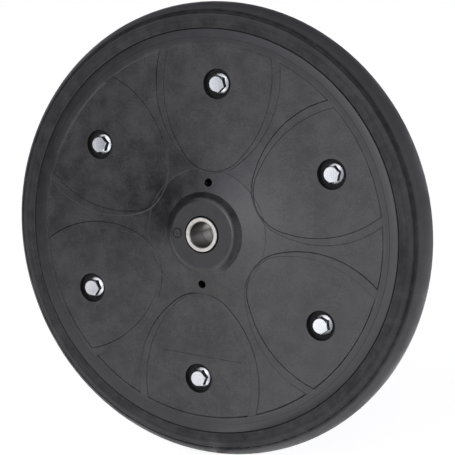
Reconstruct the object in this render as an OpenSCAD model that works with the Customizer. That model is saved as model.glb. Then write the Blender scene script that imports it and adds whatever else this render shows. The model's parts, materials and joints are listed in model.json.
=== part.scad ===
// Planter press wheel: a rubber tyre clamped between two moulded rim halves,
// held by six flange bolts and running on a sealed ball bearing.
// The axle lies along Y through the origin, the shown face looks toward -Y and +Z is up.

/* [Tyre] */
// Overall diameter of the tyre
tyre_d = 305; // [280:1:340]
// Height of the tyre above the rim
tyre_h = 17.3; // [16:0.1:19]
// Extra radius of the crown over half the wheel's width
crown_ease = 0.9; // [0.6:0.1:2]
// Distance of the tread's edge below the crown
tread_drop = 6.4; // [5:0.1:8]
// Height of the tread above the sidewall at its edge
tread_step = 0.3; // [0.2:0.05:0.6]
// Radius of the bead along the edge of the sidewall
bead_r = 1.1; // [0.8:0.1:1.4]
// Height of that bead above the sidewall
bead_h = 0.3; // [0.2:0.05:0.5]
// Radius of the groove between the bead and the tread
groove_cut_r = 0.45; // [0.3:0.05:0.6]
// Radius of the air chamber in section
chamber_r = 6; // [4:0.5:7]
// Width of the slit that lets the chamber breathe
slit_w = 2; // [1:0.5:4]

/* [Rim] */
// Width across the two rim halves at the tyre
rim_w = 26.8; // [25:0.2:30]
// Thickness of the lip beside the tyre's foot
lip_t = 3.6; // [3:0.1:4.5]
// Radial height of the tyre's foot between the lips
foot_h = 6.6; // [5:0.1:8]
// Radial length of the hook that holds the foot
hook_len = 2.8; // [2:0.1:3.5]
// Depth of the hook behind the lip
hook_depth = 1.5; // [1:0.1:2.5]
// Thickness of the bed under the tyre's foot
bed_t = 3.5; // [2.5:0.1:5]
// Width of the sloping band next to the tyre
band_w = 5.8; // [4:0.1:7]
// Width of the raised ring inside the band
ring_w = 4.3; // [3:0.1:6]
// Fall of the rounded band from the raised ring to the tyre
band_fall = 0.4; // [0.2:0.1:0.6]

/* [Web] */
// Distance of the web behind the rim's face, at the raised ring
web_drop = 0; // [0:0.1:0.4]
// Angle at which the web rises toward the hub
dish_angle = 2; // [1:0.2:3]
// Thickness of the web
web_t = 3.4; // [2.5:0.1:4.5]
// Height of the ribs and the raised ring above the web
rib_h = 0.65; // [0.5:0.05:1.2]
// Run of the sloping wall of a rib
wall_run = 0.7; // [0.3:0.1:1]
// Distance of a petal's tip from the axle
petal_tip_at = 42; // [40:0.2:46]
// Radius of a petal's tip
petal_tip_r = 26; // [20:0.5:30]
// Half width of a petal where it is widest
petal_half_w = 39.4; // [36:0.1:42]
// Distance of a petal's widest point inside the raised ring
petal_wide_in = 23.1; // [20:0.1:30]
// Width of a rib at the petal's tip
rib_tip_w = 1.8; // [1.2:0.1:3]
// Width that a rib gains sideways at its ends
rib_end_w = 5.9; // [4:0.1:7]
// Distance by which a rib is widest beyond its petal
rib_flare = 1; // [0:0.5:6]
// Distance of the plain inset panel's edge inside the bolt circle
panel_in = 15.6; // [13:0.1:22]
// Radius of the corners of the inset panel
panel_corner_r = 5; // [3:0.5:8]
// Margin of the inset panel inside its petal
panel_inset = 2.5; // [1.5:0.1:4]
// Depth of the inset panel
panel_depth = 0.4; // [0.2:0.1:0.8]
// Thickness of the stiffening ribs inside the rim halves
stiffener_t = 2.4; // [1.5:0.1:3.5]
// Gap that the stiffening ribs keep from the parting plane
stiffener_gap = 0.5; // [0.3:0.1:2]

/* [Hub] */
// Diameter at which the hub cone leaves the web
cone_d = 86; // [78:1:92]
// Rise of the hub cone over the web
cone_h = 2.8; // [2:0.1:4]
// Diameter of the boss at its foot
boss_base_d = 56; // [54:0.5:60]
// Slope of the boss's wall
boss_wall_angle = 55; // [45:1:65]
// Radius of the rounded edge round the boss face
boss_edge_r = 3; // [2:0.1:3.6]
// Gap between the boss and the spacer bush
bush_gap = 1; // [0.5:0.1:1.5]
// Diameter of the two drain holes beside the boss
drain_d = 5.4; // [4:0.2:7]
// Distance of the drain holes from the axle
drain_at = 34.2; // [32:0.2:38]
// Diameter of the round mould mark on the boss face
mark_d = 6.6; // [5:0.1:7.4]
// Depth and width of the groove of the mould mark
mark_groove = 0.4; // [0.2:0.1:0.6]
// Diameter of the dot in the middle of the mould mark
mark_dot_d = 1.2; // [0.8:0.1:2]

/* [Bearing and bushes] */
// Bore for the axle
bore_d = 17; // [16:0.1:17.6]
// Width across the faces of the two spacer bushes
hub_w = 47.2; // [46:0.2:50]
// Outer diameter of the spacer bushes
bush_d = 23; // [22:0.1:24]
// Length by which a bush stands proud of the boss face
bush_proud = 0.8; // [0.4:0.1:2]
// Bevel at the ends of the bushes
bush_bevel = 0.7; // [0.4:0.1:1]
// Outer diameter of the bearing
bearing_d = 40; // [39:0.1:42]
// Width of the bearing
bearing_w = 12; // [11.6:0.1:14]
// Diameter of a ball
ball_d = 6.75; // [6.4:0.05:6.9]
// Thickness of the inner ring beside its groove
inner_ring_t = 3.75; // [3.4:0.05:4]
// Thickness of the outer ring beside its groove
outer_ring_t = 3.75; // [3.4:0.05:4]
// Running clearance between a ball and its grooves
ball_gap = 0.03; // [0.02:0.01:0.06]
// Thickness of the cage's sheet
cage_t = 0.6; // [0.5:0.05:0.7]
// Thickness of a seal
seal_t = 1; // [0.8:0.1:1.2]
// Depth of a seal below the bearing's face
seal_depth = 0.5; // [0.3:0.1:0.7]

/* [Fasteners] */
// Distance of the bolt circle inside the raised ring
bolt_in = 25.9; // [24:0.1:28]
// Thread diameter of the bolts
bolt_d = 6; // [5:0.5:6.5]
// Length of a bolt under its head
bolt_len = 25; // [24:0.5:30]
// Width across the flats of the heads and nuts
head_af = 10; // [9:0.5:11]
// Diameter of the flange on heads and nuts
flange_d = 14.2; // [13:0.1:15]
// Thickness of the flange at its edge
flange_edge = 1.2; // [0.8:0.1:1.6]
// Height of a bolt head with its flange
head_h = 6.4; // [5.5:0.1:7.5]
// Height of a nut with its flange
nut_h = 6; // [5:0.1:7]
// Diameter of the pockets round heads and nuts
pocket_d = 20; // [18:0.2:21]
// Depth of the pockets below the web
pocket_depth = 5; // [4.6:0.1:5.6]
// Wall round the pockets, inside the rim halves
pillar_wall = 2.6; // [2:0.1:3.5]

/* [Fits] */
// Gap between the tyre and the rim halves
tyre_fit = 0.1; // [0.05:0.05:0.3]
// Width of the open joint line round the tyre
joint_gap = 0.25; // [0.1:0.05:0.4]
// Bevel on the edges at the joint line
joint_bevel = 0.4; // [0.2:0.1:0.8]
// Play of the bearing in its seat, across the diameter
seat_fit = 0.06; // [0.02:0.02:0.1]
// Play of a bolt in its hole, across the diameter
hole_fit = 0.5; // [0.2:0.1:1]
// Play of a nut on its bolt, across the diameter
thread_fit = 0.1; // [0.04:0.02:0.2]
// Gap between parts that turn past each other
running_gap = 0.3; // [0.2:0.05:0.4]
// Gap between a ball and its cage
cage_gap = 0.08; // [0.05:0.01:0.12]

/* [Hidden] */
$fn = 96;
// Cuts run past a face by this much, and joined shapes run into each other by the root.
over = 1;
root = 0.5;
bolt_count = 6;
ball_count = 8;
// Angle of the first bolt, from +X toward +Z, and the turn of each hexagon head
first_bolt = 86;
head_turn = [42, 15, 35, 8, -4, 12];

tyre_r = tyre_d / 2;
rim_r = tyre_r - tyre_h;
half_w = rim_w / 2;
crown_r = half_w + crown_ease;
crown_at = tyre_r - crown_r;
tread_edge_r = tyre_r - tread_drop;
side_r = crown_r - tread_step;
// Angles of the groove and the bead round the middle of the crown
groove_turn = acos((tread_edge_r - crown_at) / crown_r);
bead_turn = groove_turn + (bead_r + groove_cut_r) / side_r * 180 / PI;

lip_z = half_w - lip_t;
hook_z = lip_z - hook_depth;
hook_r = rim_r - hook_len;
bed_r = hook_r - foot_h;
bed_in_r = bed_r - bed_t;

band_r = rim_r - band_w;
ring_r = band_r - ring_w;
band_z = half_w + band_fall;
band_arc_r = (band_w * band_w + band_fall * band_fall) / (2 * band_fall);
web_z = half_w - web_drop;
rib_z = web_z + rib_h;
// The ribs end inside the raised ring, a hair below its face.
rib_end_r = ring_r + ring_w / 2;
rib_sink = 0.06;
rib_top = rib_h - rib_sink;
// Height of the web's face at a distance from the axle
function web_at(r) = web_z + (ring_r - r) * tan(dish_angle);

cone_r = cone_d / 2;
hub_z = web_at(cone_r) + cone_h;
boss_base_r = boss_base_d / 2;
bush_z = hub_w / 2;
boss_z = bush_z - bush_proud;
// The wall of the boss would meet its face at the corner, and the rounded edge starts at the face radius.
boss_corner_r = boss_base_r - (boss_z - hub_z) / tan(boss_wall_angle);
boss_face_r = boss_corner_r - boss_edge_r * tan(boss_wall_angle / 2);
bush_r = bush_d / 2;
bore_r = bore_d / 2;
hub_hole_r = bush_r + bush_gap;

bearing_r = bearing_d / 2;
bearing_half = bearing_w / 2;
seat_r = bearing_r + seat_fit / 2;
barrel_wall = 4;
barrel_r = seat_r + barrel_wall;
ball_r = ball_d / 2;
inner_ring_r = bore_r + inner_ring_t;
outer_land_r = bearing_r - outer_ring_t;
pitch_r = (inner_ring_r + outer_land_r) / 2;
// A groove is a little rounder than the ball, as a share of the ball's diameter.
groove_share = 0.52;
groove_r = groove_share * ball_d;
groove_shift = ball_r + ball_gap - groove_r;
seal_step = 1;
seal_seat_r = outer_land_r + seal_step;
seal_z = bearing_half - seal_depth - seal_t;
// Room in the rim halves in front of the seals
relief_depth = 2;
relief_r = seal_seat_r + running_gap;
relief_z = bearing_half + relief_depth;
ring_bevel = 0.5;
cage_in_r = inner_ring_r + running_gap;
cage_out_r = outer_land_r - running_gap;
cup_r = ball_r + cage_gap;
rivet_r = 0.45;
rivet_head_r = 0.8;
rivet_head_h = 0.35;

bolt_at = ring_r - bolt_in;
pocket_r = pocket_d / 2;
seat_z = web_at(bolt_at) - pocket_depth;
pillar_r = pocket_r + pillar_wall;
thread_r = bolt_d / 2;
flange_cone_h = 2.4;
hex_r = head_af / 2 / cos(30);
head_top_r = 0.48 * head_af;
bolt_tip = bolt_d / 8;

petal_wide_at = ring_r - petal_wide_in;
panel_at = bolt_at - panel_in;
rib_tip_at = petal_tip_at - rib_tip_w;
rib_tip_r = petal_tip_r + 2 * rib_tip_w;
rib_half_w = petal_half_w + rib_end_w;
rib_wide_at = petal_wide_at + rib_flare;
tip_blend = 0.12;
// Arcs that meet a line run past it by this much.
arc_blend = 0.01;

plastic = [0.20, 0.20, 0.215];
rubber = [0.12, 0.12, 0.125];
zinc = [0.82, 0.82, 0.80];
bearing_steel = [0.68, 0.68, 0.70];
seal_rubber = [0.10, 0.09, 0.09];

// The wheel is drawn with its axle along z and its shown face up, then laid over.
module laid_over() {
    rotate([90, 0, 0]) children();
}

// Turns a piece end for end about the line through the first bolt.
module end_for_end() {
    rotate([0, 0, first_bolt]) rotate([180, 0, 0]) rotate([0, 0, -first_bolt]) children();
}

module at_bolt(i) {
    rotate([0, 0, first_bolt - 360 / bolt_count * i]) translate([bolt_at, 0, 0]) children();
}

// Egg-shaped outline along +y: a tip arc that runs on into two flank arcs.
// The walls lean outward by grow over the height h.
module egg(tip_at, tip_r, half_w, wide_at, h, grow) {
    rise = wide_at - tip_at - tip_r;
    flank_r = (half_w * half_w + rise * rise - tip_r * tip_r) / (2 * (half_w - tip_r));
    flank_x = flank_r - half_w;
    tip_y = tip_at + tip_r;
    meet_y = tip_y - tip_r * rise / (flank_r - tip_r);
    full_r = tip_r + tip_blend;
    translate([0, tip_y, 0]) cylinder(h, r1 = full_r, r2 = full_r + grow);
    intersection() {
        translate([-flank_x, wide_at, 0]) cylinder(h, r1 = flank_r, r2 = flank_r + grow);
        translate([flank_x, wide_at, 0]) cylinder(h, r1 = flank_r, r2 = flank_r + grow);
        translate([-2 * half_w, meet_y, -over]) cube([4 * half_w, 2 * flank_r, h + 2 * over]);
    }
}

// Half width of that outline at a distance from the axle
function flank_at(tip_at, tip_r, half_w, wide_at, y) =
    let (rise = wide_at - tip_at - tip_r,
         flank_r = (half_w * half_w + rise * rise - tip_r * tip_r) / (2 * (half_w - tip_r)))
    half_w - flank_r + sqrt(flank_r * flank_r - (wide_at - y) * (wide_at - y));

// Lays a petal on the rising web, hinged at the raised ring.
module on_web() {
    translate([0, ring_r, web_z]) rotate([-dish_angle, 0, 0]) translate([0, -ring_r, 0]) children();
}

// Raised rib round one petal, open toward the rim, where it runs into the raised ring.
module petal_rib() {
    high = 2 * rib_h + over;
    lean = wall_run / rib_h * high;
    base = wall_run;
    intersection() {
        on_web() translate([0, 0, -rib_h]) difference() {
            egg(rib_tip_at - base, rib_tip_r + base, rib_half_w + base, rib_wide_at, high, -lean);
            translate([0, 0, -over])
                egg(petal_tip_at + base, petal_tip_r - base, petal_half_w - base, petal_wide_at,
                    high + 2 * over, lean);
        }
        rotate_extrude() polygon([[0, 0], [rib_end_r, 0], [rib_end_r, web_at(rib_end_r) + rib_top],
                                  [0, web_at(0) + rib_top]]);
    }
}

// Plain panel let into the petal that points down
module inset_panel() {
    half_w = petal_half_w - panel_inset;
    tip_r = petal_tip_r - panel_inset;
    tip_at = petal_tip_at + panel_inset;
    corner_y = panel_at - panel_corner_r;
    corner_x = flank_at(tip_at, tip_r, half_w, petal_wide_at, corner_y) - panel_corner_r;
    on_web() translate([0, 0, -panel_depth]) difference() {
        egg(tip_at, tip_r, half_w, petal_wide_at, panel_depth + over, 0);
        translate([-petal_half_w, panel_at, -over])
            cube([2 * petal_half_w, ring_r, panel_depth + 3 * over]);
        for (s = [0, 1]) mirror([s, 0, 0]) translate([corner_x, corner_y, -over])
            linear_extrude(panel_depth + 3 * over) difference() {
                square(panel_corner_r + over);
                circle(panel_corner_r + arc_blend);
            }
    }
}

// Rounded edge of the boss, cut from the corner between its face and its wall
module boss_edge_cut() {
    run = boss_corner_r - boss_face_r;
    difference() {
        polygon([[boss_face_r, boss_z - boss_edge_r], [boss_face_r, boss_z], [boss_corner_r, boss_z + over],
                 [boss_corner_r + over, boss_z], [boss_corner_r + run * cos(boss_wall_angle),
                 boss_z - run * sin(boss_wall_angle)]]);
        translate([boss_face_r, boss_z - boss_edge_r]) circle(boss_edge_r + arc_blend);
    }
}

// Band that falls in an arc from the raised ring to the tyre, with its edge broken at the joint
module band_cut() {
    difference() {
        translate([band_r, half_w - band_fall]) square([band_w + over, rim_w]);
        translate([band_r, band_z - band_arc_r]) circle(band_arc_r);
    }
    polygon([[rim_r - 2 * joint_bevel, half_w + joint_bevel], [rim_r + joint_bevel, half_w - 2 * joint_bevel],
             [rim_r + joint_bevel, half_w + joint_bevel]]);
}

// Section of a rim half, from the parting plane up to the shown face
module rim_section() {
    cone_slope = cone_h / (cone_r - boss_base_r);
    cone_in_z = web_at(cone_r) - web_t;
    barrel_z = cone_in_z + cone_slope * (cone_r - barrel_r);
    difference() {
        polygon([
            [hub_hole_r, 0], [bed_r, 0], [bed_r, lip_z], [hook_r, lip_z], [hook_r, hook_z],
            [rim_r, hook_z], [rim_r, band_z], [band_r, band_z], [band_r, rib_z], [ring_r, rib_z],
            [ring_r - wall_run, web_at(ring_r - wall_run)], [cone_r, web_at(cone_r)], [boss_base_r, hub_z],
            [boss_corner_r, boss_z], [hub_hole_r, boss_z]]);
        band_cut();
        boss_edge_cut();
        polygon([
            [barrel_r, -over], [bed_in_r, -over], [bed_in_r, web_at(bed_in_r) - web_t],
            [cone_r, cone_in_z], [barrel_r, barrel_z]]);
        translate([0, -over]) square([seat_r, bearing_half + over]);
        square([relief_r, relief_z]);
    }
}

module bolt_pillar() {
    cylinder(seat_z + pocket_depth / 2, r = pillar_r);
}

module stiffeners() {
    top = web_z - web_t / 2 - stiffener_gap;
    for (i = [0:bolt_count - 1]) rotate([0, 0, first_bolt - 360 / bolt_count * i]) {
        rotate([0, 0, 180 / bolt_count]) translate([barrel_r - root, -stiffener_t / 2, stiffener_gap])
            cube([bed_in_r - barrel_r + 2 * root, stiffener_t, top]);
        translate([bolt_at, -stiffener_t / 2, stiffener_gap])
            cube([bed_in_r - bolt_at + root, stiffener_t, top]);
    }
}

module rim_half() {
    color(plastic) difference() {
        union() {
            rotate_extrude() rim_section();
            stiffeners();
            for (i = [0:bolt_count - 1]) {
                at_bolt(i) bolt_pillar();
                rotate([0, 0, first_bolt - 90 - 360 / bolt_count * i]) petal_rib();
            }
        }
        for (i = [0:bolt_count - 1]) at_bolt(i) {
            translate([0, 0, seat_z]) cylinder(pocket_depth + over, r = pocket_r);
            translate([0, 0, -over]) cylinder(seat_z + 2 * over, d = bolt_d + hole_fit);
        }
        for (turn = [0, 180]) rotate([0, 0, first_bolt + turn]) translate([drain_at, 0, over])
            cylinder(hub_z, d = drain_d);
        rotate([0, 0, first_bolt + 90]) inset_panel();
        mould_mark();
    }
}

// Plain ring and dot in the boss face
module mould_mark() {
    mid_r = (hub_hole_r + boss_face_r) / 2;
    translate([-mid_r, 0, boss_z - mark_groove]) {
        difference() {
            cylinder(mark_groove + over, d = mark_d);
            translate([0, 0, -over]) cylinder(mark_groove + 3 * over, d = mark_d - 2 * mark_groove);
        }
        cylinder(mark_groove + over, d = mark_dot_d);
    }
}

module front_rim_half() {
    laid_over() rim_half();
}

module rear_rim_half() {
    laid_over() end_for_end() rim_half();
}

// Part of the crown's disc that lies beyond a radius
module crown_part(from_r, arc_r) {
    intersection() {
        translate([crown_at, 0]) circle(arc_r);
        translate([from_r, -half_w]) square([tyre_r, rim_w]);
    }
}

// Places a round along the edge of the sidewall, on both faces.
module at_crown(turn, arc_r) {
    for (s = [-1, 1]) translate([crown_at, 0]) rotate(s * turn) translate([arc_r, 0]) children();
}

module tyre_section() {
    seat_at = rim_r + joint_gap;
    neck = hook_z - tyre_fit;
    foot = lip_z - tyre_fit;
    difference() {
        union() {
            crown_part(tread_edge_r, crown_r);
            crown_part(seat_at, side_r);
            at_crown(bead_turn, side_r + bead_h - bead_r) circle(bead_r);
            translate([hook_r - tyre_fit, -neck]) square([seat_at - hook_r + 2 * tyre_fit, 2 * neck]);
            translate([bed_r + tyre_fit, -foot]) square([foot_h - 2 * tyre_fit, 2 * foot]);
        }
        at_crown(groove_turn, side_r) circle(groove_cut_r);
        translate([crown_at, 0]) circle(chamber_r);
        translate([bed_r - over, -slit_w / 2]) square([crown_at - bed_r, slit_w]);
        for (s = [0, 1]) mirror([0, s])
            polygon([[seat_at - over, half_w + over], [seat_at - over, half_w - joint_bevel],
                     [seat_at, half_w - joint_bevel], [seat_at + joint_bevel, half_w],
                     [seat_at + joint_bevel, half_w + over]]);
    }
}

module tyre() {
    color(rubber) laid_over() rotate_extrude() tyre_section();
}

// Flange with its cone, lying on z = 0
module flange() {
    cylinder(flange_edge, d = flange_d);
    translate([0, 0, flange_edge]) cylinder(flange_cone_h - flange_edge, d1 = flange_d, d2 = head_af);
}

// Hexagon that ends in a round top of its own
module hexagon(h) {
    bevel_h = hex_r + root - head_top_r;
    intersection() {
        cylinder(h, r = hex_r, $fn = 6);
        union() {
            cylinder(h - bevel_h, r = hex_r + over);
            translate([0, 0, h - bevel_h]) cylinder(bevel_h, r1 = hex_r + root, r2 = head_top_r);
        }
    }
}

module rim_bolt(i) {
    color(zinc) laid_over() at_bolt(i) translate([0, 0, seat_z]) {
        flange();
        rotate([0, 0, head_turn[i] - first_bolt + 360 / bolt_count * i]) hexagon(head_h);
        translate([0, 0, bolt_tip - bolt_len]) cylinder(bolt_len - bolt_tip, r = thread_r);
        translate([0, 0, -bolt_len]) cylinder(bolt_tip, r1 = thread_r - bolt_tip, r2 = thread_r);
    }
}

module flange_nut(i) {
    color(zinc) laid_over() at_bolt(i) translate([0, 0, -seat_z]) rotate([180, 0, 0]) difference() {
        union() {
            flange();
            rotate([0, 0, 2 * head_turn[i]]) hexagon(nut_h);
        }
        translate([0, 0, -over]) cylinder(nut_h + 2 * over, r = thread_r + thread_fit / 2);
    }
}

// Section of a bearing ring with its corners broken
module ring_section(in_r, out_r) {
    b = ring_bevel;
    polygon([[in_r, b - bearing_half], [in_r + b, -bearing_half], [out_r - b, -bearing_half],
             [out_r, b - bearing_half], [out_r, bearing_half - b], [out_r - b, bearing_half],
             [in_r + b, bearing_half], [in_r, bearing_half - b]]);
}

module bearing_outer_ring() {
    color(bearing_steel) laid_over() rotate_extrude() difference() {
        ring_section(outer_land_r, bearing_r);
        translate([pitch_r + groove_shift, 0]) circle(groove_r);
        for (s = [0, 1]) mirror([0, s])
            translate([0, seal_z]) square([seal_seat_r, bearing_half]);
    }
}

module bearing_inner_ring() {
    color(bearing_steel) laid_over() rotate_extrude() difference() {
        ring_section(bore_r, inner_ring_r);
        translate([pitch_r - groove_shift, 0]) circle(groove_r);
    }
}

module at_balls(offset_turn) {
    for (i = [0:ball_count - 1]) rotate([0, 0, first_bolt + offset_turn + 360 / ball_count * i])
        translate([pitch_r, 0, 0]) children();
}

module bearing_balls() {
    color(bearing_steel) laid_over() at_balls(0) sphere(ball_r);
}

// Half of the ribbon cage: a flat ring with a cup round each ball
module cage_half() {
    color(bearing_steel) difference() {
        intersection() {
            union() {
                cylinder(cage_t, r = cage_out_r + over);
                at_balls(0) sphere(cup_r + cage_t);
            }
            difference() {
                cylinder(bearing_half, r = cage_out_r);
                translate([0, 0, -over]) cylinder(bearing_half + 2 * over, r = cage_in_r);
            }
        }
        at_balls(0) sphere(cup_r);
        at_balls(180 / ball_count) translate([0, 0, -over]) cylinder(cage_t + 2 * over, r = rivet_r);
    }
}

module front_cage_half() {
    laid_over() cage_half();
}

module rear_cage_half() {
    laid_over() mirror([0, 0, 1]) cage_half();
}

module cage_rivets() {
    color(bearing_steel) laid_over() at_balls(180 / ball_count) {
        translate([0, 0, -cage_t]) cylinder(2 * cage_t, r = rivet_r);
        for (s = [0, 1]) mirror([0, 0, s])
            translate([0, 0, cage_t]) cylinder(rivet_head_h, r = rivet_head_r);
    }
}

module bearing_seal() {
    color(seal_rubber) rotate_extrude() translate([inner_ring_r + running_gap, seal_z])
        square([seal_seat_r - inner_ring_r - running_gap - seat_fit / 2, seal_t]);
}

module front_bearing_seal() {
    laid_over() bearing_seal();
}

module rear_bearing_seal() {
    laid_over() mirror([0, 0, 1]) bearing_seal();
}

module spacer_bush() {
    b = bush_bevel;
    color(zinc) rotate_extrude() polygon([
        [bore_r, bearing_half], [bush_r, bearing_half], [bush_r, bush_z - b / 2], [bush_r - b / 2, bush_z],
        [bore_r + b, bush_z], [bore_r, bush_z - b]]);
}

module front_spacer_bush() {
    laid_over() spacer_bush();
}

module rear_spacer_bush() {
    laid_over() mirror([0, 0, 1]) spacer_bush();
}

front_rim_half();
rear_rim_half();
tyre();
for (i = [1:bolt_count]) {
    rim_bolt(i - 1);
    flange_nut(i - 1);
}
bearing_outer_ring();
bearing_inner_ring();
bearing_balls();
front_cage_half();
rear_cage_half();
cage_rivets();
front_bearing_seal();
rear_bearing_seal();
front_spacer_bush();
rear_spacer_bush();
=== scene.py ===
"""Looks of a planter press wheel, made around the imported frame. Lengths are in metres."""

import json
import math

import bmesh
import bpy
from mathutils import Matrix, Vector


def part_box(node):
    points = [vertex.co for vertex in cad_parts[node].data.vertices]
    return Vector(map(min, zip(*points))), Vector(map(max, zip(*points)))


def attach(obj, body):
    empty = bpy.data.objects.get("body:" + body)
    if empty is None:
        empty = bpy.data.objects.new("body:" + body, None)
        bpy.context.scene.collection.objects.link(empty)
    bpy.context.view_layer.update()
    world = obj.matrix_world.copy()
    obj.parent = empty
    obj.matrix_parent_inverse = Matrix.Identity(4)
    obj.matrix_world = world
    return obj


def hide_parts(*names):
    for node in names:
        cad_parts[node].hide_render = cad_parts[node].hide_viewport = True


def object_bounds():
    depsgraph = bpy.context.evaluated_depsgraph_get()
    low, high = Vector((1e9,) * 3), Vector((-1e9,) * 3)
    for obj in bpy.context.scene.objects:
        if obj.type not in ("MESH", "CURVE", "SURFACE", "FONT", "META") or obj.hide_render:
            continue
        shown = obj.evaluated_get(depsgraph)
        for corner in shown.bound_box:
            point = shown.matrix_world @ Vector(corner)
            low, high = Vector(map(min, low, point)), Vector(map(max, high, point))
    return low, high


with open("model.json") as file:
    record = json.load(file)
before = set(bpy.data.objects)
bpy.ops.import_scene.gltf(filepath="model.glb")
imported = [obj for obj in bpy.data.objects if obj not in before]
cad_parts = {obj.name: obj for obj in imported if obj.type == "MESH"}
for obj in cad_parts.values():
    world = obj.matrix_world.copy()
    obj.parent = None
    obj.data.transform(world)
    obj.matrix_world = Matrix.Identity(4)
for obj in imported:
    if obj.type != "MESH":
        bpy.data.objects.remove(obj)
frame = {"nodes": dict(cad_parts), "record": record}
cad_low, cad_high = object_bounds()

MM = 0.001
FULL_TURN = 2 * math.pi

# Camera, from the ellipses of the rim and the hub in the photograph
CAMERA_TURN = math.radians(26.7)
CAMERA_RISE = math.radians(7.9)
CAMERA_DISTANCE = 1.2478
CAMERA_RIGHT = 0.012832
CAMERA_UP = 0.003541
RIM_FACE = Vector((0, -0.0134, 0))
LENS_MM = 148.87
SENSOR_MM = 36

# Floor: its paint, what the camera sees, what it sends up, and what gloss shows of it
FLOOR_HALF = 12
FLOOR_TONE = 0.5
FLOOR_GLOW = 0.84
FLOOR_BOUNCE = 0.85
FLOOR_SIDE = 1.2
FLOOR_BEHIND = 2.4
FLOOR_BEHIND_FADE = 0.08
FLOOR_FRONT = 2.2
FLOOR_NEAR = 0.45
FLOOR_FAR = 1.1

# Parts of the room: turn about the vertical, half angle of the full part, half angle of its end
FRONT = (math.radians(20), math.radians(16), math.radians(60))
SHADED = (math.radians(36), math.radians(16), math.radians(22))
SIDE = (math.radians(85), math.radians(15), math.radians(40))

# How bright the room is, and the heights and depths of a direction where its parts start and end
SHADED_SHARE = 0.85
FRONT_GLOW = 3.2
SIDE_GLOW = 0.6
ROOM_DARK = 0.07
BACKDROP_GLOW = 1.5
BACKDROP_START = 0.05
BACKDROP_FULL = 0.45
WALLS_FULL = 0.3
WALLS_END = 0.6
CEILING_GLOW = 0.3
CEILING_START = 0.7
CEILING_FULL = 0.9
ROOM_TINT = (0.98, 0.965, 1.08)
WHITE = (1.0, 1.0, 1.0)

# Rim half: the web's curve up to the hub, the painted shade deep in the fastener pockets, the ring at the
# edge
WEB_CURL_START = 85 * MM
WEB_CURL_END = 44 * MM
WEB_CURL = 2.6 * MM
POCKET_RADIUS = 10 * MM
POCKET_FADE = 0.2 * MM
POCKET_SHADE_TOP = 14.2 * MM
POCKET_SHADE_LOW = 10.6 * MM
RIM_RING_IN = 126 * MM
RIM_RING_OUT = 135 * MM
RIM_RING_EDGE = 1 * MM
RIM_RING_FALL = 0.12 * MM
RIM_EDGE_ROUND = 0.35 * MM
RIM_MOTTLE_DEPTH = 0.055 * MM
RIM_GRAIN_DEPTH = 0.012 * MM

# Boss: the part that is darker, the lean of its wall above its foot, the mould mark on its face and the
# painted shade in its groove
BOSS_WALL_IN = 22 * MM
BOSS_WALL_OUT = 26 * MM
BOSS_FOOT = 19 * MM
BOSS_LEAN = 2 * MM
BOSS_KEEP = 21.7 * MM
MARK_X = -18.2 * MM
MARK_RING = 3.1 * MM
MARK_HALF = 0.5 * MM
MARK_FADE = 0.5 * MM
MARK_PAINTED_SHADE = 0.8

# Rubber of the tyre, its bands by distance from the axle, and of the bearing seals
TYRE_EDGE_ROUND = 0.3 * MM
TYRE_MOTTLE_DEPTH = 0.06 * MM
TYRE_GRAIN_DEPTH = 0.015 * MM
SEAL_GRAIN_DEPTH = 0.01 * MM
TYRE_FOOT = 135.4 * MM
TYRE_FOOT_PAINTED_LIGHT = 0.8 * MM
SIDE_LIP = 143.2 * MM
SIDE_LIP_HALF = 2.8 * MM
SIDE_GROOVE = 146.3 * MM
SIDE_GROOVE_HALF = 1.1 * MM
SIDE_GROOVE_DEPTH = 0.05 * MM
SHOULDER_IN = 147 * MM
SHOULDER_OUT = 148.2 * MM

# Bore of the bushes, from its mount, and the painted shade, with a brownish tint, on its duller
# unfinished metal
BORE_RADIUS = frame["record"]["mounts"][0]["dims"]["r_mm"] * MM
BORE_FADE = 0.2 * MM
BORE_PAINTED_SHADE = (0.17, 0.164, 0.146)
BORE_ROUGHNESS = 0.36

# Fine scratches: turn in degrees and length against width of each lane, cells to a patch
SCRATCH_LANES = ((35, 22), (-62, 16))
SCRATCH_CELLS = 9.0

# Flange bolts and nuts, M6
HEAD_TURNS = (42, 15, 35, 8, -4, 12)
FLATS = 10 * MM
FLANGE_EDGE = 1.2 * MM
FLANGE_CONE = 2.05 * MM
HEAD_HEIGHT = 6.4 * MM
TOP_RADIUS = 0.96 * FLATS / 2
CHAMFER_SLOPE = 0.9
TOP_DISH = 0.08 * MM
DISH_RIM_RADIUS = TOP_RADIUS * 0.9
DISH_RIM_DEPTH = TOP_DISH * 0.2
DISH_FLOOR_RADIUS = TOP_RADIUS * 0.5
THREAD_RADIUS = 3 * MM
THREAD_PITCH = 1 * MM
THREAD_DEPTH = 0.45 * MM
THREAD_FLANK = 1.25
THREAD_PLAY = 0.03 * MM
BOLT_TIP = 0.75 * MM
NUT_MOUTH = 0.3 * MM
NUT_MOUTH_DEPTH = 0.4 * MM
EDGE_ROUND = 0.16 * MM
ROUND_STEPS = 72
RINGS_PER_PITCH = 6
SHARP_ANGLE = math.radians(38)
MERGE_DISTANCE = 0.0001 * MM


# Small helpers for node trees

def node(tree, kind, **settings):
    made = tree.nodes.new("ShaderNode" + kind)
    for name, value in settings.items():
        setattr(made, name, value)
    return made


def link(tree, source, target):
    tree.links.new(source, target)


def value_math(tree, operation, first, second=None):
    """A Math node on sockets or numbers."""
    made = node(tree, "Math", operation=operation)
    for socket, given in zip(made.inputs, (first, second)):
        if given is None:
            continue
        if isinstance(given, (int, float)):
            socket.default_value = given
        else:
            link(tree, given, socket)
    return made.outputs[0]


def times(tree, first, second):
    return value_math(tree, "MULTIPLY", first, second)


def larger(tree, first, second):
    return value_math(tree, "MAXIMUM", first, second)


def gap_to(tree, source, value):
    """How far a value is from another, either way."""
    return value_math(tree, "ABSOLUTE", value_math(tree, "SUBTRACT", source, value))


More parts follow.
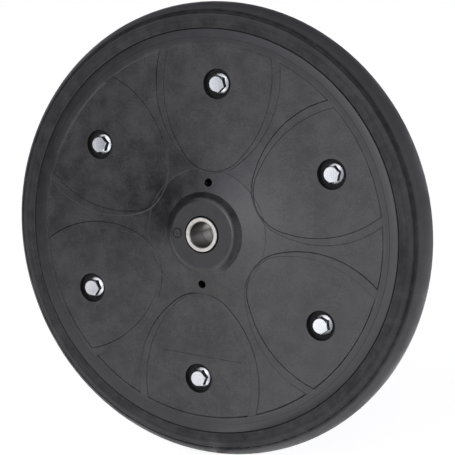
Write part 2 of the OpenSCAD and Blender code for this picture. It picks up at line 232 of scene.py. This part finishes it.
def diagonal(tree, first, second):
    """Length of the diagonal over two sides."""
    squares = [value_math(tree, "POWER", side, 2.0) for side in (first, second)]
    return value_math(tree, "SQRT", value_math(tree, "ADD", *squares))


def weighted_sum(tree, *pairs):
    """Sum of sockets, each given with its weight."""
    total = None
    for source, weight in pairs:
        share = times(tree, source, weight)
        total = share if total is None else value_math(tree, "ADD", total, share)
    return total


def remap(tree, source, low, high, to_low, to_high):
    made = node(tree, "MapRange")
    link(tree, source, made.inputs["Value"])
    made.inputs["From Min"].default_value = low
    made.inputs["From Max"].default_value = high
    made.inputs["To Min"].default_value = to_low
    made.inputs["To Max"].default_value = to_high
    return made.outputs["Result"]


def tone_mix(tree, factor, first, second):
    """The first colour where the factor is 0 and the second where it is 1."""
    made = node(tree, "Mix", data_type="RGBA")
    link(tree, factor, made.inputs["Factor"])
    for socket, given in ((made.inputs[6], first), (made.inputs[7], second)):
        if isinstance(given, tuple):
            socket.default_value = (*given, 1)
        else:
            link(tree, given, socket)
    return made.outputs[2]


def grey(level):
    return (level, level, level)


def noise(tree, coords, scale, detail, roughness):
    made = node(tree, "TexNoise")
    link(tree, coords, made.inputs["Vector"])
    link(tree, scale, made.inputs["Scale"])
    made.inputs["Detail"].default_value = detail
    made.inputs["Roughness"].default_value = roughness
    return made.outputs["Fac"]


def object_place(tree):
    """Object coordinates of the surface."""
    return node(tree, "TexCoord").outputs["Object"]


def split(tree, vector):
    """The X, Y and Z sockets of a vector."""
    made = node(tree, "SeparateXYZ")
    link(tree, vector, made.inputs["Vector"])
    return made.outputs


def effect_group(name, inputs, outputs):
    """A shader node group with float sockets: (group, its input node, its output node)."""
    group = bpy.data.node_groups.new(name, "ShaderNodeTree")
    for label, default in inputs:
        socket = group.interface.new_socket(label, in_out="INPUT", socket_type="NodeSocketFloat")
        socket.default_value = default
    for label in outputs:
        group.interface.new_socket(label, in_out="OUTPUT", socket_type="NodeSocketFloat")
    return group, group.nodes.new("NodeGroupInput"), group.nodes.new("NodeGroupOutput")


def place_group(tree, group, **values):
    """A group in a material, with its own values: its output sockets."""
    made = tree.nodes.new("ShaderNodeGroup")
    made.node_tree = group
    for label, value in values.items():
        made.inputs[label.replace("_", " ")].default_value = value
    return made.outputs


# Effects that several finishes share

def make_skin_group():
    """Clouds, mottle and fine grain of a moulded skin."""
    group, given, out = effect_group(
        "moulded_skin",
        (("Cloud Scale", 20), ("Mottle Scale", 150), ("Grain Scale", 1400)),
        ("Cloud", "Mottle", "Grain"))
    coords = object_place(group)
    for label, detail, roughness in (("Cloud", 5, 0.6), ("Mottle", 4, 0.6), ("Grain", 2, 0.5)):
        pattern = noise(group, coords, given.outputs[label + " Scale"], detail, roughness)
        link(group, pattern, out.inputs[label])
    return group


def make_hairline_group():
    """Sparse fine scratches in two directions across the wheel's face."""
    group, given, out = effect_group(
        "hairlines", (("Scale", 12), ("Width", 0.004), ("Rarity", 0.6)), ("Mask",))
    coords = object_place(group)
    layers = []
    for turn, stretch in SCRATCH_LANES:
        turned = node(group, "Mapping", vector_type="TEXTURE")
        turned.inputs["Rotation"].default_value = (0, math.radians(turn), 0)
        turned.inputs["Scale"].default_value = (stretch, 1, 1)
        link(group, coords, turned.inputs["Vector"])
        lane = turned.outputs["Vector"]
        cells = node(group, "TexVoronoi", feature="DISTANCE_TO_EDGE")
        link(group, lane, cells.inputs["Vector"])
        link(group, times(group, given.outputs["Scale"], SCRATCH_CELLS), cells.inputs["Scale"])
        thin = value_math(group, "LESS_THAN", cells.outputs["Distance"], given.outputs["Width"])
        patches = noise(group, lane, given.outputs["Scale"], detail=2, roughness=0.5)
        rare = value_math(group, "GREATER_THAN", patches, given.outputs["Rarity"])
        layers.append(times(group, thin, rare))
    link(group, larger(group, *layers), out.inputs["Mask"])
    return group


def make_dust_group():
    """Scattered pale specks."""
    group, given, out = effect_group("dust", (("Scale", 260), ("Size", 0.12), ("Share", 0.06)), ("Mask",))
    cells = node(group, "TexVoronoi", feature="F1")
    link(group, object_place(group), cells.inputs["Vector"])
    link(group, given.outputs["Scale"], cells.inputs["Scale"])
    near = value_math(group, "LESS_THAN", cells.outputs["Distance"], given.outputs["Size"])
    draw = node(group, "SeparateColor")
    link(group, cells.outputs["Color"], draw.inputs["Color"])
    chosen = value_math(group, "LESS_THAN", draw.outputs[0], given.outputs["Share"])
    link(group, times(group, near, chosen), out.inputs["Mask"])
    return group


def make_axle_group():
    """Distance from the axle, and noise that runs round it."""
    group, given, out = effect_group("round_axle", (("Streak Scale", 900),), ("Radius", "Streak"))
    coords = object_place(group)
    flat = node(group, "VectorMath", operation="MULTIPLY")
    flat.inputs[1].default_value = (1, 0, 1)
    link(group, coords, flat.inputs[0])
    length = node(group, "VectorMath", operation="LENGTH")
    link(group, flat.outputs["Vector"], length.inputs[0])
    radius = length.outputs["Value"]
    link(group, radius, out.inputs["Radius"])
    lane = node(group, "CombineXYZ")
    link(group, radius, lane.inputs["X"])
    link(group, split(group, coords)["Y"], lane.inputs["Y"])
    streak = noise(group, lane.outputs["Vector"], given.outputs["Streak Scale"], detail=3, roughness=0.6)
    link(group, streak, out.inputs["Streak"])
    return group


def make_pocket_painted_shade_group():
    """Mask of painted shade: 1 deep inside the round pockets of the fasteners, 0 elsewhere."""
    low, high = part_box("rim_bolt_1")
    first = (low + high) / 2
    group, given, out = effect_group("fastener_pocket_painted_shade", (("Reach", POCKET_RADIUS),), ("Mask",))
    parts = split(group, object_place(group))
    radius = diagonal(group, parts["X"], parts["Z"])
    turn = value_math(group, "ARCTAN2", parts["Z"], parts["X"])
    turn = value_math(group, "SUBTRACT", turn, math.atan2(first.z, first.x))
    turn = value_math(group, "PINGPONG", turn, math.pi / len(HEAD_TURNS))
    along = times(group, radius, value_math(group, "COSINE", turn))
    along = value_math(group, "SUBTRACT", along, math.hypot(first.x, first.z))
    beside = times(group, radius, value_math(group, "SINE", turn))
    room = value_math(group, "SUBTRACT", given.outputs["Reach"], diagonal(group, along, beside))
    inside = remap(group, room, -POCKET_FADE, 0, 0, 1)
    depth = value_math(group, "ABSOLUTE", parts["Y"])
    sunk = remap(group, depth, POCKET_SHADE_TOP, POCKET_SHADE_LOW, 0, 1)
    link(group, times(group, inside, sunk), out.inputs["Mask"])
    return group


SKIN = make_skin_group()
HAIRLINES = make_hairline_group()
DUST = make_dust_group()
ROUND_AXLE = make_axle_group()
POCKET_PAINTED_SHADE = make_pocket_painted_shade_group()


# Finishes

def new_finish(name):
    """A material with only its shader: (material, tree, shader)."""
    made = bpy.data.materials.new(name)
    made.use_nodes = True
    tree = made.node_tree
    tree.nodes.clear()
    shader = node(tree, "BsdfPrincipled")
    output = node(tree, "OutputMaterial")
    link(tree, shader.outputs["BSDF"], output.inputs["Surface"])
    return made, tree, shader


def soft_edges(tree, radius):
    """Normals that round a sharp edge by this radius."""
    made = node(tree, "Bevel", samples=6)
    made.inputs["Radius"].default_value = radius
    return made.outputs["Normal"]


def bump(tree, height, depth, normal=None):
    made = node(tree, "Bump")
    made.inputs["Strength"].default_value = 1
    made.inputs["Distance"].default_value = depth
    link(tree, height, made.inputs["Height"])
    if normal is not None:
        link(tree, normal, made.inputs["Normal"])
    return made.outputs["Normal"]


def mould_mark_painted_shade(tree):
    """Painted shade in the groove of the round mould mark on the front boss face."""
    parts = split(tree, object_place(tree))
    away = diagonal(tree, value_math(tree, "SUBTRACT", parts["X"], MARK_X), parts["Z"])
    off_ring = gap_to(tree, away, MARK_RING)
    ring = remap(tree, off_ring, MARK_HALF, MARK_HALF + MARK_FADE, MARK_PAINTED_SHADE, 0)
    return times(tree, ring, value_math(tree, "LESS_THAN", parts["Y"], 0.0))


def rim_plastic_finish():
    """Black satin plastic, a little cloudy, with fine scratches, dust, and painted shade in the fastener
    pockets and in the mould mark.
    """
    dark, light = (0.002, 0.002, 0.004), (0.028, 0.0272, 0.0275)
    ring_and_boss = (0.004, 0.004, 0.006)
    speck = (0.16, 0.155, 0.145)
    made, tree, shader = new_finish("rim_plastic")
    skin = place_group(tree, SKIN, Cloud_Scale=34, Mottle_Scale=95, Grain_Scale=1300)
    lines = place_group(tree, HAIRLINES, Scale=9, Width=0.005, Rarity=0.68)
    dust = place_group(tree, DUST, Scale=240, Size=0.1, Share=0.03)
    radius = place_group(tree, ROUND_AXLE)["Radius"]
    pocket_painted_shade = place_group(tree, POCKET_PAINTED_SHADE, Reach=POCKET_RADIUS)["Mask"]
    mark = mould_mark_painted_shade(tree)
    tone = weighted_sum(tree, (skin["Cloud"], 0.15), (skin["Mottle"], 0.4), (skin["Grain"], 0.45))
    base = tone_mix(tree, remap(tree, tone, 0.41, 0.59, 0, 1), dark, light)
    on_ring = remap(tree, radius, RIM_RING_IN, RIM_RING_IN + RIM_RING_EDGE, 0, 0.7)
    on_boss = remap(tree, radius, BOSS_WALL_IN, BOSS_WALL_OUT, 0.7, 0)
    on_boss = times(tree, on_boss, remap(tree, skin["Mottle"], 0.4, 0.6, 0.3, 1))
    base = tone_mix(tree, larger(tree, on_ring, on_boss), base, ring_and_boss)
    base = tone_mix(tree, times(tree, lines["Mask"], 0.2), base, grey(0.08))
    base = tone_mix(tree, times(tree, dust["Mask"], 0.3), base, speck)
    # painted shade deep in the fastener pockets
    base = tone_mix(tree, pocket_painted_shade, base, grey(0.008))
    # painted shade in the groove of the mould mark
    base = tone_mix(tree, mark, base, grey(0.002))
    link(tree, base, shader.inputs["Base Color"])
    satin = remap(tree, skin["Mottle"], 0.35, 0.65, 0.29, 0.37)
    dull = times(tree, larger(tree, pocket_painted_shade, mark), 0.85)
    link(tree, larger(tree, satin, dull), shader.inputs["Roughness"])
    curl = value_math(tree, "POWER", remap(tree, radius, WEB_CURL_START, WEB_CURL_END, 0, 1), 2.0)
    ring_fall = remap(tree, radius, RIM_RING_IN, RIM_RING_OUT, 1, 0)
    normal = soft_edges(tree, RIM_EDGE_ROUND)
    normal = bump(tree, curl, WEB_CURL, normal)
    normal = bump(tree, ring_fall, RIM_RING_FALL, normal)
    normal = bump(tree, skin["Mottle"], RIM_MOTTLE_DEPTH, normal)
    normal = bump(tree, skin["Grain"], RIM_GRAIN_DEPTH, normal)
    link(tree, normal, shader.inputs["Normal"])
    return made


def tyre_rubber_finish():
    """Matt black rubber with streaks round the wheel, smudges, painted light along its foot at the rim
    joint, and a paler lip and shoulder.
    """
    dark, light = (0.003, 0.003, 0.0045), (0.024, 0.024, 0.025)
    smudge_tone = (0.003, 0.003, 0.004)
    shoulder = (0.066, 0.066, 0.068)
    speck = (0.15, 0.15, 0.14)
    made, tree, shader = new_finish("tyre_rubber")
    skin = place_group(tree, SKIN, Cloud_Scale=45, Mottle_Scale=150, Grain_Scale=1100)
    dust = place_group(tree, DUST, Scale=330, Size=0.12, Share=0.05)
    axle = place_group(tree, ROUND_AXLE, Streak_Scale=420)
    radius = axle["Radius"]
    tone = weighted_sum(tree, (skin["Mottle"], 0.5), (axle["Streak"], 0.3), (skin["Grain"], 0.2))
    base = tone_mix(tree, remap(tree, tone, 0.41, 0.58, 0, 1), dark, light)
    base = tone_mix(tree, remap(tree, skin["Cloud"], 0.52, 0.64, 0, 0.4), base, smudge_tone)
    # painted light along the tyre's foot, lifting the shade in the joint with the rim
    painted_light_at_foot = remap(tree, radius, TYRE_FOOT, TYRE_FOOT + TYRE_FOOT_PAINTED_LIGHT, 0.45, 0)
    base = tone_mix(tree, painted_light_at_foot, base, grey(0.07))
    on_lip = remap(tree, gap_to(tree, radius, SIDE_LIP), 0, SIDE_LIP_HALF, 0.45, 0)
    base = tone_mix(tree, on_lip, base, grey(0.05))
    base = tone_mix(tree, remap(tree, radius, SHOULDER_IN, SHOULDER_OUT, 0, 0.6), base, shoulder)
    base = tone_mix(tree, times(tree, dust["Mask"], 0.3), base, speck)
    link(tree, base, shader.inputs["Base Color"])
    link(tree, remap(tree, skin["Cloud"], 0.35, 0.65, 0.5, 0.7), shader.inputs["Roughness"])
    shader.inputs["Specular IOR Level"].default_value = 0.33
    groove = remap(tree, gap_to(tree, radius, SIDE_GROOVE), 0, SIDE_GROOVE_HALF, 0, 1)
    normal = soft_edges(tree, TYRE_EDGE_ROUND)
    normal = bump(tree, groove, SIDE_GROOVE_DEPTH, normal)
    normal = bump(tree, skin["Mottle"], TYRE_MOTTLE_DEPTH, normal)
    normal = bump(tree, skin["Grain"], TYRE_GRAIN_DEPTH, normal)
    link(tree, normal, shader.inputs["Normal"])
    return made


def metal_finish(name, dark, light, rough, edge, grain, turned=False, bore=None):
    """Bare or plated metal; where a bore radius is given, painted shade with a brownish tint darkens the
    hole, and its metal is duller.
    """
    made, tree, shader = new_finish(name)
    skin = place_group(tree, SKIN, Cloud_Scale=90, Mottle_Scale=700, Grain_Scale=3800)
    axle = place_group(tree, ROUND_AXLE, Streak_Scale=2600)
    pattern = axle["Streak"] if turned else skin["Mottle"]
    patches = weighted_sum(tree, (skin["Cloud"], 0.5), (skin["Mottle"], 0.5))
    base = tone_mix(tree, remap(tree, patches, 0.36, 0.64, 0, 1), dark, light)
    roughness = remap(tree, pattern, 0.3, 0.7, *rough)
    if bore is not None:
        inside = remap(tree, axle["Radius"], bore, bore + BORE_FADE, 1, 0)
        # painted shade inside the bore, with a brownish tint
        base = tone_mix(tree, inside, base, BORE_PAINTED_SHADE)
        roughness = larger(tree, roughness, times(tree, inside, BORE_ROUGHNESS))
    link(tree, base, shader.inputs["Base Color"])
    shader.inputs["Metallic"].default_value = 1
    link(tree, roughness, shader.inputs["Roughness"])
    link(tree, bump(tree, pattern, grain, soft_edges(tree, edge)), shader.inputs["Normal"])
    return made


def seal_finish():
    """Matt black rubber of the bearing seals."""
    dark, light = (0.016, 0.014, 0.014), (0.03, 0.026, 0.026)
    made, tree, shader = new_finish("seal_rubber")
    skin = place_group(tree, SKIN, Cloud_Scale=120, Mottle_Scale=600, Grain_Scale=2500)
    link(tree, tone_mix(tree, skin["Cloud"], dark, light), shader.inputs["Base Color"])
    link(tree, remap(tree, skin["Mottle"], 0.3, 0.7, 0.55, 0.7), shader.inputs["Roughness"])
    link(tree, bump(tree, skin["Grain"], SEAL_GRAIN_DEPTH), shader.inputs["Normal"])
    return made


FINISHES = {
    "rim_plastic": rim_plastic_finish(),
    "tyre_rubber": tyre_rubber_finish(),
    "zinc_fastener": metal_finish(
        "zinc_fastener", dark=(0.44, 0.46, 0.49), light=(0.56, 0.57, 0.58), rough=(0.22, 0.34),
        edge=0.12 * MM, grain=0.012 * MM),
    "bearing_steel": metal_finish(
        "bearing_steel", dark=(0.6, 0.6, 0.61), light=(0.68, 0.68, 0.69), rough=(0.14, 0.24),
        edge=0.1 * MM, grain=0.004 * MM, turned=True, bore=BORE_RADIUS),
    "cage_steel": metal_finish(
        "cage_steel", dark=(0.46, 0.45, 0.43), light=(0.56, 0.55, 0.52), rough=(0.28, 0.4),
        edge=0.08 * MM, grain=0.01 * MM),
    "seal_rubber": seal_finish(),
    "bush_steel": metal_finish(
        "bush_steel", dark=(0.36, 0.352, 0.325), light=(0.56, 0.548, 0.51), rough=(0.34, 0.5),
        edge=0.15 * MM, grain=0.012 * MM, turned=True, bore=BORE_RADIUS),
}


# Pieces

def dress(piece, slot):
    piece.data.materials.clear()
    piece.data.materials.append(FINISHES[slot])


def dress_cad_nodes():
    slots = {part["node"]: part["material_slot"] for part in frame["record"]["subparts"]}
    for name, piece in frame["nodes"].items():
        dress(piece, slots[name])


def add_piece(mesh, name, slot, body, *nodes):
    """A piece that rides on a body and stands for these nodes."""
    piece = bpy.data.objects.new(name, mesh)
    bpy.context.scene.collection.objects.link(piece)
    dress(piece, slot)
    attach(piece, body)
    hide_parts(*nodes)


def make_rim_moulding(name, rim_half):
    """A rim half whose boss wall leans back towards the face, as it does on the real wheel."""
    mesh = frame["nodes"][rim_half].data.copy()
    mesh.name = name
    low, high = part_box(rim_half)
    top = max(-low.y, high.y)
    for vert in mesh.vertices:
        radius = math.hypot(vert.co.x, vert.co.z)
        rise = (abs(vert.co.y) - BOSS_FOOT) / (top - BOSS_FOOT)
        if rise > 0 and radius > BOSS_KEEP:
            shrink = 1 - BOSS_LEAN * rise / radius
            vert.co.x *= shrink
            vert.co.z *= shrink
    add_piece(mesh, name, "rim_plastic", "wheel", rim_half)


def ring_stack(bm, rings, close_first=False, close_last=True):
    """Rings of vertices along z, each given by a function from an angle to (radius, height)."""
    first = bmesh.ops.create_circle(bm, segments=ROUND_STEPS, radius=1)["verts"]
    loop = sorted(first, key=lambda v: math.atan2(v.co.y, v.co.x) % FULL_TURN)
    edges = list(bm.edges)
    angles = [FULL_TURN * k / ROUND_STEPS for k in range(ROUND_STEPS)]

    def place(verts, ring):
        for vert, angle in zip(verts, angles):
            radius, height = ring(angle)
            vert.co = (radius * math.cos(angle), radius * math.sin(angle), height)

    place(loop, rings[0])
    if close_first:
        bm.faces.new(list(reversed(loop)))
    for ring in rings[1:]:
        grown = bmesh.ops.extrude_edge_only(bm, edges=edges)["geom"]
        new_edges = [g for g in grown if isinstance(g, bmesh.types.BMEdge)]
        follower = {}
        for vert in loop:
            for edge in vert.link_edges:
                other = edge.other_vert(vert)
                if other in grown:
                    follower[vert] = other
        loop = [follower[vert] for vert in loop]
        edges = [e for e in new_edges if e.verts[0] in loop and e.verts[1] in loop]
        place(loop, ring)
    if close_last:
        bm.faces.new(loop)


def round_ring(radius, height):
    """A plain circle for ring_stack."""
    return lambda angle: (radius, height)


def hexagon_radius(angle):
    """Distance of a hexagon's side from its middle, with a corner at angle 0."""
    sector = math.radians(60)
    return FLATS / 2 / math.cos(angle % sector - sector / 2)


def flange_rings(flange_radius, height):
    """Rings of a flange and the hexagon on it, from the seat to the rim of the top."""
    slope = (FLANGE_CONE - FLANGE_EDGE) / (flange_radius - FLATS / 2)

    def on_cone(angle):
        radius = hexagon_radius(angle)
        return radius, FLANGE_EDGE + (flange_radius - radius) * slope

    def under_chamfer(angle):
        radius = hexagon_radius(angle)
        return radius, height - (radius - TOP_RADIUS) * CHAMFER_SLOPE

    return [
        round_ring(flange_radius - EDGE_ROUND, 0),
        round_ring(flange_radius - EDGE_ROUND * 0.3, EDGE_ROUND * 0.3),
        round_ring(flange_radius, EDGE_ROUND),
        round_ring(flange_radius, FLANGE_EDGE - 2 * EDGE_ROUND),
        round_ring(flange_radius - EDGE_ROUND * 0.6, FLANGE_EDGE - EDGE_ROUND * 0.5),
        round_ring(flange_radius - EDGE_ROUND * 2, FLANGE_EDGE + EDGE_ROUND * 0.4),
        on_cone, under_chamfer,
        round_ring(TOP_RADIUS, height),
    ]


def thread_ring(base, play):
    """A ring of a right-hand thread at a height: ridge and root follow the turn."""
    def ring(angle):
        phase = (base / THREAD_PITCH + angle / FULL_TURN) % 1
        ridge = abs(2 * phase - 1)
        return THREAD_RADIUS + play - THREAD_DEPTH * min(1, THREAD_FLANK * ridge), base
    return ring


def thread_rings(low, high, play):
    count = max(2, round((high - low) / THREAD_PITCH * RINGS_PER_PITCH))
    return [thread_ring(low + (high - low) * k / count, play) for k in range(count + 1)]


def bolt_mesh(flange_radius, length):
    """Hexagon flange bolt with its seat on z = 0 and its head up."""
    bm = bmesh.new()
    neck = THREAD_RADIUS - THREAD_DEPTH
    rings = [round_ring(neck - BOLT_TIP / 2, -length)]
    rings += thread_rings(BOLT_TIP - length, -THREAD_PITCH, 0)
    rings += [round_ring(neck, -THREAD_PITCH / 2), round_ring(neck, 0)]
    rings += flange_rings(flange_radius, HEAD_HEIGHT)
    rings += [round_ring(DISH_RIM_RADIUS, HEAD_HEIGHT - DISH_RIM_DEPTH),
              round_ring(DISH_FLOOR_RADIUS, HEAD_HEIGHT - TOP_DISH)]
    ring_stack(bm, rings, close_first=True)
    return bm


def nut_mesh(flange_radius, height):
    """Hexagon flange nut with its seat on z = 0 and its threaded bore open."""
    bm = bmesh.new()
    mouth = THREAD_RADIUS + NUT_MOUTH
    rings = [round_ring(mouth, 0)]
    rings += flange_rings(flange_radius, height)
    rings += [round_ring(mouth, height)]
    rings += reversed(thread_rings(NUT_MOUTH_DEPTH, height - NUT_MOUTH_DEPTH, THREAD_PLAY))
    rings += [round_ring(mouth, 0)]
    ring_stack(bm, rings, close_last=False)
    return bm


def add_fastener(bm, name, rim_node, seat_y, turn, out_sign):
    """Stands a fastener on its seat, with its head to the front (1) or the rear (-1)."""
    low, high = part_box(rim_node)
    middle = (low + high) / 2
    tilt = Matrix.Rotation(math.radians(90) * out_sign, 4, "X")
    spin = Matrix.Rotation(math.radians(turn), 4, "Z")
    place = Matrix.Translation((middle.x, seat_y, middle.z)) @ tilt @ spin
    bmesh.ops.transform(bm, matrix=place, verts=bm.verts)
    bmesh.ops.remove_doubles(bm, verts=bm.verts, dist=MERGE_DISTANCE)
    bmesh.ops.recalc_face_normals(bm, faces=bm.faces)
    mesh = bpy.data.meshes.new(name)
    bm.to_mesh(mesh)
    bm.free()
    mesh.polygons.foreach_set("use_smooth", [True] * len(mesh.polygons))
    mesh.set_sharp_from_angle(angle=SHARP_ANGLE)
    add_piece(mesh, name, "zinc_fastener", "wheel", rim_node)


def make_fasteners():
    for number, turn in enumerate(HEAD_TURNS, start=1):
        bolt = f"rim_bolt_{number}"
        low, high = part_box(bolt)
        seat_y = low.y + HEAD_HEIGHT
        bm = bolt_mesh((high.x - low.x) / 2, high.y - seat_y)
        add_fastener(bm, f"flange_bolt_{number}", bolt, seat_y, turn, 1)
        nut = f"flange_nut_{number}"
        low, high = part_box(nut)
        bm = nut_mesh((high.x - low.x) / 2, high.y - low.y)
        add_fastener(bm, f"threaded_nut_{number}", nut, low.y, 2 * turn, -1)


# Studio

def level_share(tree, direction, turn, full, end):
    """How much of a direction lies within these angles of a turn about the vertical."""
    level = node(tree, "VectorMath", operation="MULTIPLY")
    level.inputs[1].default_value = (1, 1, 0)
    link(tree, direction, level.inputs[0])
    unit = node(tree, "VectorMath", operation="NORMALIZE")
    link(tree, level.outputs["Vector"], unit.inputs[0])
    along = node(tree, "VectorMath", operation="DOT_PRODUCT")
    along.inputs[1].default_value = (math.sin(turn), -math.cos(turn), 0)
    link(tree, unit.outputs["Vector"], along.inputs[0])
    return remap(tree, along.outputs["Value"], math.cos(end), math.cos(full), 0, 1)


def clear_share(tree, direction):
    """1 less the share of the room that is dark behind the camera."""
    shaded = times(tree, level_share(tree, direction, *SHADED), SHADED_SHARE)
    return value_math(tree, "SUBTRACT", 1.0, shaded)


def front_share(tree, direction):
    """The bright part of the room in front of the wheel, less the part behind the camera."""
    return times(tree, level_share(tree, direction, *FRONT), clear_share(tree, direction))


def seen_directly(tree, rays):
    return larger(tree, rays["Is Camera Ray"], rays["Is Transmission Ray"])


def floor_glow(tree):
    """Pale to the camera, a soft bounce to dull surfaces, and lit round the wheel for gloss."""
    rays = node(tree, "LightPath").outputs
    place = object_place(tree)
    length = node(tree, "VectorMath", operation="LENGTH")
    link(tree, place, length.inputs[0])
    away = length.outputs["Value"]
    side = remap(tree, away, FLOOR_NEAR, FLOOR_FAR, FLOOR_SIDE, ROOM_DARK)
    side = times(tree, side, clear_share(tree, place))
    behind = remap(tree, away, FLOOR_NEAR, FLOOR_FAR, FLOOR_BEHIND, ROOM_DARK)
    behind = times(tree, behind, remap(tree, split(tree, place)["Y"], 0, FLOOR_BEHIND_FADE, 0, 1))
    front = times(tree, front_share(tree, place), FLOOR_FRONT)
    around = larger(tree, larger(tree, side, behind), front)
    mirrored = times(tree, rays["Is Glossy Ray"], around)
    bounce = times(tree, rays["Is Diffuse Ray"], FLOOR_BOUNCE)
    shown = times(tree, seen_directly(tree, rays), FLOOR_GLOW)
    return larger(tree, mirrored, larger(tree, bounce, shown))


def make_floor():
    bm = bmesh.new()
    bmesh.ops.create_grid(bm, x_segments=1, y_segments=1, size=FLOOR_HALF)
    bmesh.ops.translate(bm, vec=(0, 0, cad_low.z), verts=bm.verts)
    mesh = bpy.data.meshes.new("floor")
    bm.to_mesh(mesh)
    bm.free()
    floor = bpy.data.objects.new("floor", mesh)
    bpy.context.scene.collection.objects.link(floor)
    made = bpy.data.materials.new("pale_floor")
    made.use_nodes = True
    tree = made.node_tree
    tree.nodes.clear()
    paint = node(tree, "BsdfDiffuse")
    paint.inputs["Color"].default_value = (*grey(FLOOR_TONE), 1)
    glow = node(tree, "Emission")
    link(tree, floor_glow(tree), glow.inputs["Strength"])
    both = node(tree, "AddShader")
    link(tree, paint.outputs[0], both.inputs[0])
    link(tree, glow.outputs[0], both.inputs[1])
    link(tree, both.outputs[0], node(tree, "OutputMaterial").inputs["Surface"])
    floor.data.materials.append(made)


def room_glow(tree, direction):
    """To the wheel a bright front, dark sides, a pale backdrop and a dim ceiling."""
    parts = split(tree, direction)
    low = remap(tree, parts["Z"], WALLS_FULL, WALLS_END, 1, 0)
    front = remap(tree, times(tree, front_share(tree, direction), low), 0, 1, ROOM_DARK, FRONT_GLOW)
    behind = times(tree, remap(tree, parts["Y"], BACKDROP_START, BACKDROP_FULL, 0, BACKDROP_GLOW), low)
    side = times(tree, times(tree, level_share(tree, direction, *SIDE), SIDE_GLOW), low)
    above = remap(tree, parts["Z"], CEILING_START, CEILING_FULL, 0, CEILING_GLOW)
    return larger(tree, larger(tree, front, behind), larger(tree, side, above))


def make_world():
    """White where the camera looks, and the room for every other ray."""
    world = bpy.data.worlds.new("studio")
    bpy.context.scene.world = world
    world.use_nodes = True
    tree = world.node_tree
    tree.nodes.clear()
    seen = seen_directly(tree, node(tree, "LightPath").outputs)
    shown = node(tree, "Mix", data_type="FLOAT")
    link(tree, seen, shown.inputs[0])
    link(tree, room_glow(tree, node(tree, "TexCoord").outputs["Generated"]), shown.inputs[2])
    shown.inputs[3].default_value = 1
    sky = node(tree, "Background")
    link(tree, tone_mix(tree, seen, ROOM_TINT, WHITE), sky.inputs["Color"])
    link(tree, shown.outputs[0], sky.inputs["Strength"])
    link(tree, sky.outputs[0], node(tree, "OutputWorld").inputs["Surface"])


def outward(turn, rise):
    """Direction from the wheel, by its turn from the front and its rise."""
    level = math.cos(rise)
    return Vector((math.sin(turn) * level, -math.cos(turn) * level, math.sin(rise)))


def soft_panel(name, turn, rise, distance, width, height, glow):
    """A soft light panel that faces the wheel, with this glow as its brightness."""
    lamp = bpy.data.lights.new(name, "AREA")
    lamp.shape = "RECTANGLE"
    lamp.size = width
    lamp.size_y = height
    lamp.energy = glow * math.pi * width * height
    away = outward(math.radians(turn), math.radians(rise))
    panel = bpy.data.objects.new(name, lamp)
    panel.visible_camera = False
    panel.location = away * distance
    panel.rotation_euler = away.to_track_quat("Z", "Y").to_euler()
    bpy.context.scene.collection.objects.link(panel)


def make_lights():
    soft_panel("front_panel", turn=4, rise=6, distance=1.5, width=0.5, height=0.4, glow=2.5)
    soft_panel("upper_panel", turn=-12, rise=38, distance=1.5, width=1.6, height=0.5, glow=1.6)


def make_camera():
    back = outward(CAMERA_TURN, CAMERA_RISE)
    right = Vector((math.cos(CAMERA_TURN), math.sin(CAMERA_TURN), 0))
    up = back.cross(right)
    lens = bpy.data.cameras.new("camera")
    lens.sensor_width = SENSOR_MM
    lens.lens = LENS_MM
    camera = bpy.data.objects.new("camera", lens)
    place = Matrix((right, up, back)).transposed().to_4x4()
    place.translation = RIM_FACE + back * CAMERA_DISTANCE + right * CAMERA_RIGHT + up * CAMERA_UP
    camera.matrix_world = place
    bpy.context.scene.collection.objects.link(camera)
    bpy.context.scene.camera = camera


dress_cad_nodes()
make_rim_moulding("front_moulding", "front_rim_half")
make_rim_moulding("rear_moulding", "rear_rim_half")
make_fasteners()
make_floor()
make_world()
make_lights()
make_camera()
bpy.context.scene.view_settings.view_transform = "Standard"
